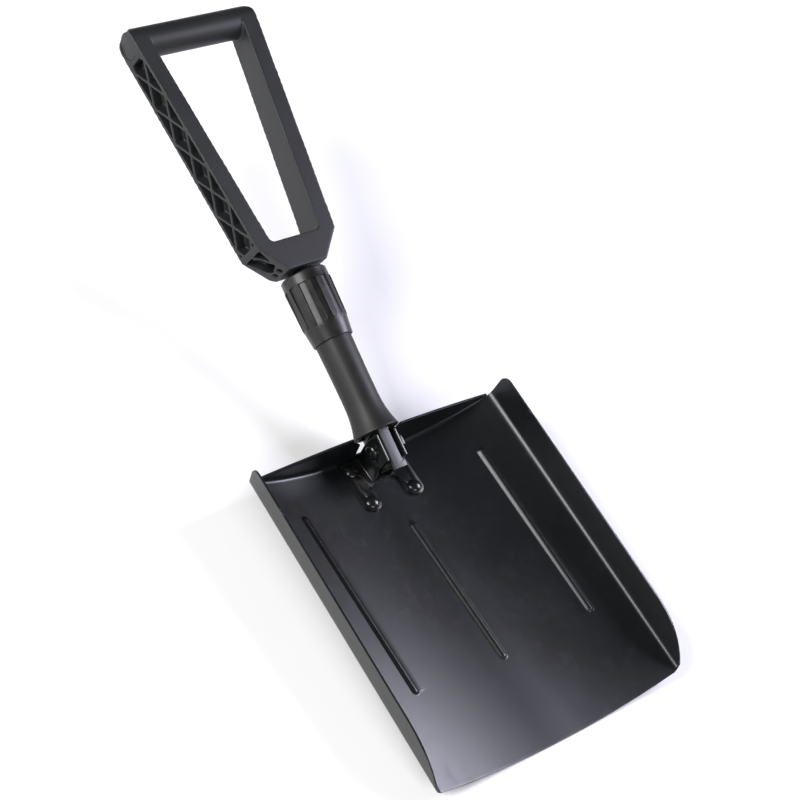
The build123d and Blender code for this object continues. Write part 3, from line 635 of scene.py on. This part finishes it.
# ------------------------------------------------------------------------------------ blade
@dataclass
class BladePan:
    """The pressed steel pan: one sheet with a dished floor, side walls, a turned-up back and beads."""

    finishes: Finishes
    sheet: float = 1.5 * MM
    back: float = 11.6 * MM
    front: float = -254.9 * MM
    half_back: float = 118.2 * MM
    half_front: float = 120.0 * MM
    dish_back: float = 26.4 * MM
    dish_front: float = 11.1 * MM
    flat_half: float = 12.0 * MM
    wall_height: float = 24.4 * MM
    wall_lean: float = 5.5 * MM
    wall_nose: float = 48.8 * MM
    wall_corner: float = 8.0 * MM
    front_bow: float = 4.0 * MM
    crown: float = 6.6 * MM
    notch: tuple[tuple[float, float], ...] = ((11.5, 5.5), (12.5, 21.0), (20.5, 27.0), (24.0, 39.6))
    bend: float = 3.2 * MM
    back_bend: float = 2.6 * MM
    bead_half: float = 3.7 * MM
    bead_height: float = 1.6 * MM
    side_bead: float = 87.0 * MM
    side_bead_ends: tuple[float, float] = (-27.0 * MM, -180.0 * MM)
    middle_bead_ends: tuple[float, float] = (-59.0 * MM, -182.0 * MM)

    def share(self, y: float) -> float:
        """How far towards the front a place lies, 0 to 1."""
        return (self.back - y) / (self.back - self.front)

    def half(self, y: float) -> float:
        """Half-width of the floor."""
        return self.half_back + (self.half_front - self.half_back) * self.share(y)

    def rise(self, y: float) -> float:
        """Height of the side creases."""
        return self.dish_back + (self.dish_front - self.dish_back) * self.share(y)

    def floor(self, x: float, y: float) -> float:
        """Height of the floor's upper face, with its beads.

        Args:
            x: across.
            y: along the blade.

        Returns:
            The height.
        """
        run = max(abs(x) - self.flat_half, 0.0)
        full, rise = self.half(y) - self.flat_half, self.rise(y)
        radius = (full**2 + rise**2) / (2 * rise)
        return radius - math.sqrt(radius**2 - run**2) + self.sheet + self.bead(x, y)

    def bead(self, x: float, y: float) -> float:
        """Height of the nearest bead, which fades out softly at its sides and ends."""
        height = 0.0
        places = ((0.0, self.middle_bead_ends), (self.side_bead, self.side_bead_ends))
        for centre, (start, stop) in places:
            beyond = max(y - start, stop - y, 0.0)
            distance = math.hypot(abs(x) - centre, beyond) / self.bead_half
            if distance < 1.0:
                height = max(height, self.bead_height * math.cos(0.5 * math.pi * distance) ** 1.35)
        return height

    def columns(self) -> list[tuple[str, float]]:
        """Places across the right half of the sheet, from the middle to the wall's top.

        Returns:
            The stretch ("floor", "bend" or "wall") and the place in it.
        """
        fine = np.linspace(0, 1, 15) * (self.bead_half + 0.4 * MM)
        floor = set(np.round(fine, 6))
        floor |= set(np.round(self.side_bead + np.concatenate((-fine[::-1], fine)), 6))
        corners = {half * MM for half, _ in self.notch}
        floor |= corners
        floor |= set(np.round(np.arange(8, 116, 5) * MM, 6))
        ordered = sorted(floor)
        kept = [ordered[0]]
        for place in ordered[1:]:
            near = place - kept[-1] < 0.2 * MM
            if not near or place in corners:
                kept.append(place)
        edge = self.half_back - self.bend
        floor_places = [("floor", place / edge) for place in kept if place < edge - 0.5 * MM]
        floor_places.append(("floor", 1.0))
        bends = [("bend", step / 6) for step in range(1, 7)]
        walls = [("wall", share) for share in (0.15, 0.3, 0.45, 0.58, 0.7, 0.78, 0.85, 0.91, 0.96, 1.0)]
        return floor_places + bends + walls

    def point(self, kind: str, place: float, y: float) -> tuple[float, float]:
        """A point of the sheet's upper face in one cross section.

        Args:
            kind: floor, bend or wall.
            place: where in that stretch, 0 to 1.
            y: along the blade.

        Returns:
            Its x and z.
        """
        half, rise = self.half(y), self.rise(y)
        edge = half - self.bend
        corner = Vector((half, rise + self.sheet))
        up = Vector((self.wall_lean, self.wall_height)).normalized()
        foot = Vector((edge, self.floor(edge, y)))
        start = corner + up * self.bend
        top = Vector((half + self.wall_lean, rise + self.wall_height)) + Vector((-up.y, up.x)) * self.sheet
        if kind == "floor":
            x = edge * place
            return x, self.floor(x, y)
        if kind == "bend":
            spot = foot * (1 - place) ** 2 + corner * 2 * place * (1 - place) + start * place**2
        else:
            spot = start.lerp(top, place)
        return spot.x, spot.y

    def ends(self, kind: str, place: float) -> tuple[float, float]:
        """Where a lengthwise line starts and stops.

        Args:
            kind: floor, bend or wall.
            place: where in that stretch, 0 to 1.

        Returns:
            Its y at the back and at the front.
        """
        if kind == "floor":
            return self.back, self.front - self.front_bow * (1 - place**2)
        height = (self.bend * place if kind == "bend" else self.bend + (self.wall_height - self.bend) * place)
        radius = (self.wall_nose**2 + self.wall_height**2) / (2 * self.wall_height)
        full = math.sqrt(radius**2 - (radius - self.wall_height) ** 2)
        reach = math.sqrt(max(radius**2 - (radius - (self.wall_height - height)) ** 2, 0.0)) / full
        over = max(height - (self.wall_height - self.wall_corner), 0.0)
        back = self.back - (self.wall_corner - math.sqrt(max(self.wall_corner**2 - over**2, 0.0)))
        return back, self.front + self.wall_nose * (1 - reach)

    def rows(self) -> list[float]:
        """Places from the back to the front, 0 to 1, closer together at the bead ends."""
        spots = set(np.round(np.linspace(0, 1, 64), 5))
        for y in (*self.side_bead_ends, *self.middle_bead_ends):
            inner = -1 if y > -100 * MM else 1
            for step in range(-2, 12):
                spots.add(round(self.share(y - inner * step * 0.4 * MM), 5))
        spots |= {0.003, 0.007, 0.994}
        return sorted(spot for spot in spots if 0 <= spot <= 1)

    def panel_top(self, x: float) -> float:
        """Height of the back panel's top edge, with the notch for the shaft.

        Args:
            x: across.

        Returns:
            The height.
        """
        crown = self.dish_back + self.crown * (1 - (x / self.half_back) ** 2)
        halves, heights = zip(*self.notch)
        if abs(x) >= halves[-1] * MM:
            return crown
        return min(crown, float(np.interp(abs(x) / MM, halves, heights)) * MM)

    def build(self) -> bpy.types.Object:
        """Builds the pan and puts it on the blade's body.

        Returns:
            The pan.
        """
        right = self.columns()
        sides = [(-1, kind, place) for kind, place in reversed(right[1:])]
        sides += [(1, kind, place) for kind, place in right]
        rows = self.rows()
        points: list[Point] = []
        for row in rows:
            for side, kind, place in sides:
                back, front = self.ends(kind, place)
                y = back + (front - back) * row
                x, z = self.point(kind, place, y)
                points.append((side * x, y, z))
        faces = grid_faces(len(rows), len(sides))
        faces += self.add_panel(points, sides)
        mesh = bpy.data.meshes.new("blade_sheet")
        mesh.from_pydata(points, [], faces)
        piece = new_piece("blade_sheet", mesh)
        made = bmesh.new()
        made.from_mesh(mesh)
        bmesh.ops.remove_doubles(made, verts=made.verts, dist=0.06 * MM)
        bmesh.ops.dissolve_degenerate(made, edges=made.edges, dist=0.02 * MM)
        bmesh.ops.recalc_face_normals(made, faces=made.faces)
        middle = min(made.faces, key=lambda f: (f.calc_center_median() - Vector((0.05, -0.1, 0))).length)
        if middle.normal.z < 0:
            bmesh.ops.reverse_faces(made, faces=made.faces)
        made.to_mesh(mesh)
        made.free()
        solid = piece.modifiers.new("sheet", "SOLIDIFY")
        solid.thickness = self.sheet
        solid.offset = -1.0
        rim = piece.modifiers.new("rim", "BEVEL")
        rim.width = 0.4 * MM
        rim.segments = 2
        rim.limit_method = "ANGLE"
        rim.angle_limit = math.radians(50)
        bake_modifiers(piece)
        shade(piece, 45.0)
        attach(piece, Body.BLADE.value)
        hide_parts("blade_pan")
        self.finishes.dress(piece, Slot.POWDER_COAT)
        log.info("%s: %d faces", piece.name, len(piece.data.polygons))
        return piece

    def add_panel(
        self, points: list[Point], sides: Sequence[tuple[int, str, float]]
    ) -> list[tuple[int, ...]]:
        """Adds the turned-up back to the sheet's points.

        Args:
            points: the sheet's points so far, its back row first. The back row moves to the bend's foot.
            sides: the sheet's columns.

        Returns:
            The panel's faces.
        """
        steps = 5
        levels = (0.25, 0.5, 0.75, 1.0)
        floor_columns = [i for i, (_, kind, _) in enumerate(sides) if kind == "floor"]
        grid: list[list[int]] = [list(floor_columns)]
        face_y = self.back
        for i in floor_columns:
            x, _, z = points[i]
            room = min(self.back_bend, max(self.panel_top(x) - z, 0.05 * MM) * 0.6)
            points[i] = (x, face_y - room, z)
        for step in range(1, steps + 1):
            angle = 0.5 * math.pi * step / steps
            row = []
            for i in floor_columns:
                x, y, z = points[i]
                room = face_y - y
                row.append(len(points))
                points.append((x, y + room * math.sin(angle), z + room * (1 - math.cos(angle))))
            grid.append(row)
        for level in levels:
            row = []
            for i, below in zip(floor_columns, grid[steps]):
                x, _, z = points[below]
                top = max(self.panel_top(x), z + 0.02 * MM)
                row.append(len(points))
                points.append((x, face_y, z + (top - z) * level))
            grid.append(row)
        return [
            (low[c], low[c + 1], high[c + 1], high[c])
            for low, high in zip(grid, grid[1:])
            for c in range(len(floor_columns) - 1)
        ]


# ------------------------------------------------------------------------------------ shaft
@dataclass
class GripSleeve:
    """The rubber grip: a lathed sleeve with a flared mouth and two faint flats."""

    finishes: Finishes
    shaft: ShaftFrame
    mouth: float = 12.65 * MM
    end: float = 99.0 * MM
    mouth_radius: float = 18.9 * MM
    mouth_bore: float = 15.5 * MM
    bore: float = 12.0 * MM
    bore_at: float = 23.65 * MM
    waist: float = 14.5 * MM
    top_radius: float = 15.0 * MM
    flare: float = 30.0 * MM
    taper_start: float = 59.4 * MM
    top_band: float = 8.0 * MM
    flat_depth: float = 0.35 * MM
    turns: int = 96

    def profile(self) -> list[tuple[float, float]]:
        """Outside and lips of the sleeve, as (along, radius), from the bore's start round to the top."""
        lip = 0.9 * MM
        middle = (self.mouth + lip, self.mouth_radius - lip)
        low = [(self.bore_at, self.bore), (self.mouth + 0.5 * MM, self.mouth_bore + 0.05 * MM)]
        low.append((self.mouth, self.mouth_bore + 0.6 * MM))
        for step in range(6):
            angle = math.radians(180 - 18 * step)
            low.append((middle[0] + lip * math.cos(angle), middle[1] + lip * math.sin(angle)))
        flare = []
        span = self.mouth + self.flare - middle[0]
        for step in range(1, 25):
            share = step / 24
            fall = (1 - share) ** 2.3
            flare.append((middle[0] + span * share, self.waist + (self.mouth_radius - self.waist) * fall))
        plain = [(self.taper_start, self.waist), (self.end - self.top_band, self.top_radius)]
        top = 0.7 * MM
        ends = [(self.end - top, self.top_radius), (self.end - 0.2 * MM, self.top_radius - 0.2 * MM)]
        ends += [(self.end, self.top_radius - top), (self.end, self.bore)]
        return low + flare + plain + ends

    def radius(self, radius: float, along: float, angle: float) -> float:
        """Radius of the outside at one angle, with two faint flats that fade into the flare.

        Args:
            radius: the plain radius.
            along: place up the shaft.
            angle: angle round the shaft, 0 to the right and a quarter turn at the top.

        Returns:
            The radius there.
        """
        if radius <= self.bore + 0.1 * MM or along < self.mouth + 2 * MM:
            return radius
        fade = min(max((along - self.mouth - 2 * MM) / (14 * MM), 0.0), 1.0)
        for centre in (0.16, 0.84):
            offset = abs(angle / math.pi - centre)
            if offset < 0.12:
                radius -= self.flat_depth * fade * math.cos(0.5 * math.pi * offset / 0.12)
        return radius

    def build(self) -> bpy.types.Object:
        """Builds the sleeve and puts it on the shaft's body.

        Returns:
            The sleeve.
        """
        profile = self.profile()
        to_frame = self.shaft.matrix()
        points = []
        for along, plain in profile:
            for turn in range(self.turns):
                angle = 2 * math.pi * turn / self.turns
                radius = self.radius(plain, along, angle)
                points.append(to_frame @ Vector((radius * math.cos(angle), along, radius * math.sin(angle))))
        faces = grid_faces(len(profile), self.turns, closed=True)
        last = (len(profile) - 1) * self.turns
        for turn in range(self.turns):
            after = (turn + 1) % self.turns
            faces.append((last + turn, last + after, after, turn))
        mesh = bpy.data.meshes.new("grip")
        mesh.from_pydata(points, [], faces)
        piece = new_piece("grip", mesh)
        made = bmesh.new()
        made.from_mesh(mesh)
        bmesh.ops.recalc_face_normals(made, faces=made.faces)
        made.to_mesh(mesh)
        made.free()
        shade(piece, 50.0)
        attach(piece, Body.SHAFT.value)
        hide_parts("grip_sleeve")
        self.finishes.dress(piece, Slot.RUBBER)
        log.info("%s: %d faces", piece.name, len(piece.data.polygons))
        return piece


@dataclass
class RibbedCollar:
    """The screw collar: a lathed shell with flat lengthwise ribs between a skirt and a rim."""

    finishes: Finishes
    shaft: ShaftFrame
    ribs: int = 12
    rib_half_deg: float = 7.5  # half of a rib, round the shaft
    low: float = 92.1
    high: float = 149.6
    skirt_bore: float = 15.5
    nut_bore: float = 16.6
    nut_start: float = 107.0
    groove: float = 18.0
    rib: float = 19.5
    rim: float = 19.0
    seam: float = 0.2  # a rib under this height is left as plain shell

    def rows(self) -> list[tuple[float, float, float]]:
        """The shell's outline from its skirt round to its bore, in millimetres.

        Returns:
            The place up the shaft, the radius in a groove and the radius on a rib.
        """
        skirt = [(self.low, 16.3), (92.4, 16.6), (98.0, 17.2), (103.7, 17.84), (104.3, 17.92), (105.8, 17.96)]
        ribs = [(106.9, 18.45), (108.2, 18.7), (118.0, 18.94), (130.0, 19.24)]
        ribs += [(140.2, self.rib), (140.5, 19.45)]
        rim = [(141.3, self.rim), (148.4, self.rim), (149.0, 18.6), (self.high, 18.0)]
        inside = [(self.high, self.nut_bore), (self.nut_start, self.nut_bore)]
        inside.append((self.nut_start, self.skirt_bore))
        ribbed = [(place, self.groove, radius) for place, radius in ribs]
        ribbed += [(140.6, 18.7, 19.3), (140.9, self.rim, 19.1)]
        plain = [(place, radius, radius) for place, radius in [(self.low, self.skirt_bore), *skirt]]
        return plain + ribbed + [(place, radius, radius) for place, radius in rim + inside]

    def spots(self) -> list[tuple[float, float]]:
        """Lengthwise lines of one rib and the groove after it.

        Returns:
            The angle from the rib's middle, in degrees, and how far up the rib, 0 to 1.
        """
        half = self.rib_half_deg
        flat = [(offset, 1.0) for offset in (-6.7, -3.4, 0.0, 3.4, 6.7)]
        edges = [(-half, 0.0), (-7.3, 0.8), *flat, (7.3, 0.8), (half, 0.0)]
        return edges + [(offset, 0.0) for offset in (10.0, 15.0, 20.0)]

    def columns(self) -> list[tuple[float, float, float]]:
        """Lengthwise lines round the collar.

        Returns:
            The angle, how far up the rib, 0 to 1, and the flattening of the rib there.
        """
        lines = []
        for rib in range(self.ribs):
            for offset, share in self.spots():
                flat = math.cos(math.radians(6.7)) / math.cos(math.radians(offset)) if share == 1.0 else 1.0
                lines.append((math.radians(90 + rib * 360 / self.ribs + offset), share, flat))
        return lines

    def build(self) -> bpy.types.Object:
        """Builds the collar and puts it on the collar's body.

        Returns:
            The collar.
        """
        to_frame = self.shaft.matrix()
        columns, rows = self.columns(), self.rows()
        points = []
        for along, groove, rib in rows:
            for angle, share, flat in columns:
                raised = rib > groove + self.seam
                radius = (groove + (rib * flat - groove) * share if raised else rib) * MM
                spot = Vector((radius * math.cos(angle), along * MM, radius * math.sin(angle)))
                points.append(to_frame @ spot)
        turns, last = len(columns), (len(rows) - 1) * len(columns)
        faces = grid_faces(len(rows), turns, closed=True)
        faces += [(last + c, last + (c + 1) % turns, (c + 1) % turns, c) for c in range(turns)]
        mesh = bpy.data.meshes.new("ribbed_collar")
        mesh.from_pydata(points, [], faces)
        piece = new_piece("ribbed_collar", mesh)
        made = bmesh.new()
        made.from_mesh(mesh)
        bmesh.ops.recalc_face_normals(made, faces=made.faces)
        made.to_mesh(mesh)
        made.free()
        shade(piece, 32.0)
        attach(piece, Body.COLLAR.value)
        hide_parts("collar_shell")
        self.finishes.dress(piece, Slot.COLLAR)
        log.info("%s: %d faces", piece.name, len(piece.data.polygons))
        return piece


# ------------------------------------------------------------------------------------ D-handle
@dataclass
class DHandle:
    """The moulded D-handle, remeshed so that its rims and inner corners are soft as moulded."""

    finishes: Finishes
    shaft: ShaftFrame
    voxel: float = 0.7 * MM
    rounds: int = 3
    keep: float = 0.45

    def build(self) -> bpy.types.Object:
        """Builds the handle's frame and puts it on the handle's body.

        Returns:
            The frame.
        """
        piece = new_piece("d_handle", frame["nodes"]["handle_frame"].data.copy())
        made = bmesh.new()
        made.from_mesh(piece.data)
        bmesh.ops.remove_doubles(made, verts=made.verts, dist=0.004 * MM)
        made.to_mesh(piece.data)
        made.free()
        for attribute in ("custom_normal", "sharp_edge", "sharp_face"):
            if attribute in piece.data.attributes:
                piece.data.attributes.remove(piece.data.attributes[attribute])
        to_shaft = self.shaft.matrix().inverted()
        piece.data.transform(to_shaft)
        remesh = piece.modifiers.new("voxels", "REMESH")
        remesh.mode = "VOXEL"
        remesh.voxel_size = self.voxel
        smooth = piece.modifiers.new("soften", "SMOOTH")
        smooth.factor = 0.5
        smooth.iterations = self.rounds
        thin = piece.modifiers.new("thin", "DECIMATE")
        thin.ratio = self.keep
        bake_modifiers(piece)
        piece.data.transform(self.shaft.matrix())
        piece.data.polygons.foreach_set("use_smooth", [True] * len(piece.data.polygons))
        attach(piece, Body.HANDLE.value)
        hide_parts("handle_frame")
        self.finishes.dress(piece, Slot.HANDLE)
        log.info("%s: %d faces", piece.name, len(piece.data.polygons))
        return piece


# ------------------------------------------------------------------------------------ studio
@dataclass(frozen=True)
class Softbox:
    """A rectangular studio light, aimed at a point."""

    name: str
    place: Point
    aim: Point
    width: float
    height: float
    power: float
    colour: tuple[float, float, float] = (1.0, 1.0, 1.0)

    def build(self) -> bpy.types.Object:
        """The light."""
        data = bpy.data.lights.new(self.name, "AREA")
        data.shape = "RECTANGLE"
        data.size, data.size_y = self.width, self.height
        data.energy = self.power
        data.color = self.colour
        light = bpy.data.objects.new(self.name, data)
        light.location = self.place
        light.rotation_euler = (Vector(self.aim) - Vector(self.place)).to_track_quat("-Z", "Y").to_euler()
        bpy.context.scene.collection.objects.link(light)
        return light


@dataclass
class Studio:
    """A plain pale floor, soft lights and the camera."""

    floor_half: float = 6.0
    eye: Point = (-0.8434, -0.5193, 1.1782)
    turn_deg: Point = (38.12, -19.53, -34.88)
    lens: float = 88.8
    ambient: float = 0.08
    lights: tuple[Softbox, ...] = (
        Softbox("key", (-2.0, 0.7, 1.5), (0.0, 0.05, 0.0), 1.4, 1.4, 85.0),
        Softbox("fill", (-0.6, -2.0, 1.5), (0.0, 0.0, 0.0), 1.6, 1.2, 30.0),
        Softbox("gloss", (1.4, -0.3, 1.0), (-0.1, -0.25, 0.0), 0.8, 0.8, 36.0, (0.84, 0.83, 1.0)),
    )

    def build(self) -> None:
        """Builds the floor, lights, surroundings and camera."""
        self.build_floor()
        for light in self.lights:
            light.build()
        world = bpy.data.worlds.new("studio")
        world.use_nodes = True
        background = world.node_tree.nodes["Background"]
        background.inputs["Color"].default_value = (1.0, 1.0, 1.0, 1.0)
        background.inputs["Strength"].default_value = self.ambient
        scene = bpy.context.scene
        scene.world = world
        scene.view_settings.view_transform = "Standard"
        data = bpy.data.cameras.new("camera")
        data.lens = self.lens
        data.sensor_width = 36.0
        data.clip_end = 50.0
        camera = bpy.data.objects.new("camera", data)
        camera.location = self.eye
        camera.rotation_euler = [math.radians(angle) for angle in self.turn_deg]
        scene.collection.objects.link(camera)
        scene.camera = camera

    def build_floor(self) -> None:
        """Builds the floor, a little below the lowest point of the shovel."""
        mesh = bpy.data.meshes.new("floor")
        size = self.floor_half
        level = CAD_BOX[0].z - 0.1 * MM
        corners = [(-size, -size, level), (size, -size, level), (size, size, level), (-size, size, level)]
        mesh.from_pydata(corners, [], [(0, 1, 2, 3)])
        shader = Shader("studio_floor")
        paper = shader.noise(0.25, 3.0)
        colour = shader.blend(paper, grey(0.86), grey(0.9))
        mesh.materials.append(shader.finish(colour, 0.85 + 0.1 * (paper - 0.5)))
        floor = new_piece("floor", mesh)


# ------------------------------------------------------------------------------------ assembly
@dataclass
class CampShovel:
    """The whole shovel."""

    finishes: Finishes = field(default_factory=Finishes)
    shaft: ShaftFrame = field(default_factory=ShaftFrame)

    def softened(self) -> Iterable[Softened]:
        """The pieces whose edges are rounded."""
        return (
            Softened("hinge_bracket", Body.BLADE, 0.35 * MM, name="bracket"),
            Softened("bracket_rivets", Body.BLADE, 0.25 * MM, name="rivets"),
            Softened("blade_pivot_bolt", Body.BLADE, 0.25 * MM, name="pivot_bolt"),
            Softened("pivot_nut", Body.BLADE, 0.3 * MM, name="nut_on_pivot"),
            Softened("pivot_washers", Body.BLADE, 0.15 * MM, name="washers_on_pivot"),
            Softened("lock_bar", Body.LOCK, 0.3 * MM, name="lock_tongue"),
            Softened("crossbar_caps", Body.HANDLE, 0.4 * MM, name="end_caps"),
            Softened("handle_hinge_bolt", Body.HANDLE, 0.25 * MM, name="hinge_bolt"),
            Softened("handle_hinge_nut", Body.HANDLE, 0.3 * MM, name="hinge_nut"),
            Softened("handle_tongue", Body.SHAFT, 0.3 * MM, name="tongue"),
            Softened("hinge_knuckle", Body.SHAFT, 0.3 * MM, name="knuckle"),
        )

    def build(self) -> None:
        """Builds every piece, and dresses the CAD nodes that stay in view."""
        BladePan(self.finishes).build()
        GripSleeve(self.finishes, self.shaft).build()
        RibbedCollar(self.finishes, self.shaft).build()
        DHandle(self.finishes, self.shaft).build()
        for piece in self.softened():
            piece.build(self.finishes)
        for node, shown in frame["nodes"].items():
            if not shown.hide_render:
                self.finishes.dress_node(node)
                log.info("%s keeps its CAD shape", node)


def main() -> None:
    """Builds the shovel in its studio."""
    logging.basicConfig(level=logging.INFO, format="%(name)s: %(message)s")
    CampShovel().build()
    Studio().build()


if __name__ == "__main__":
    main()
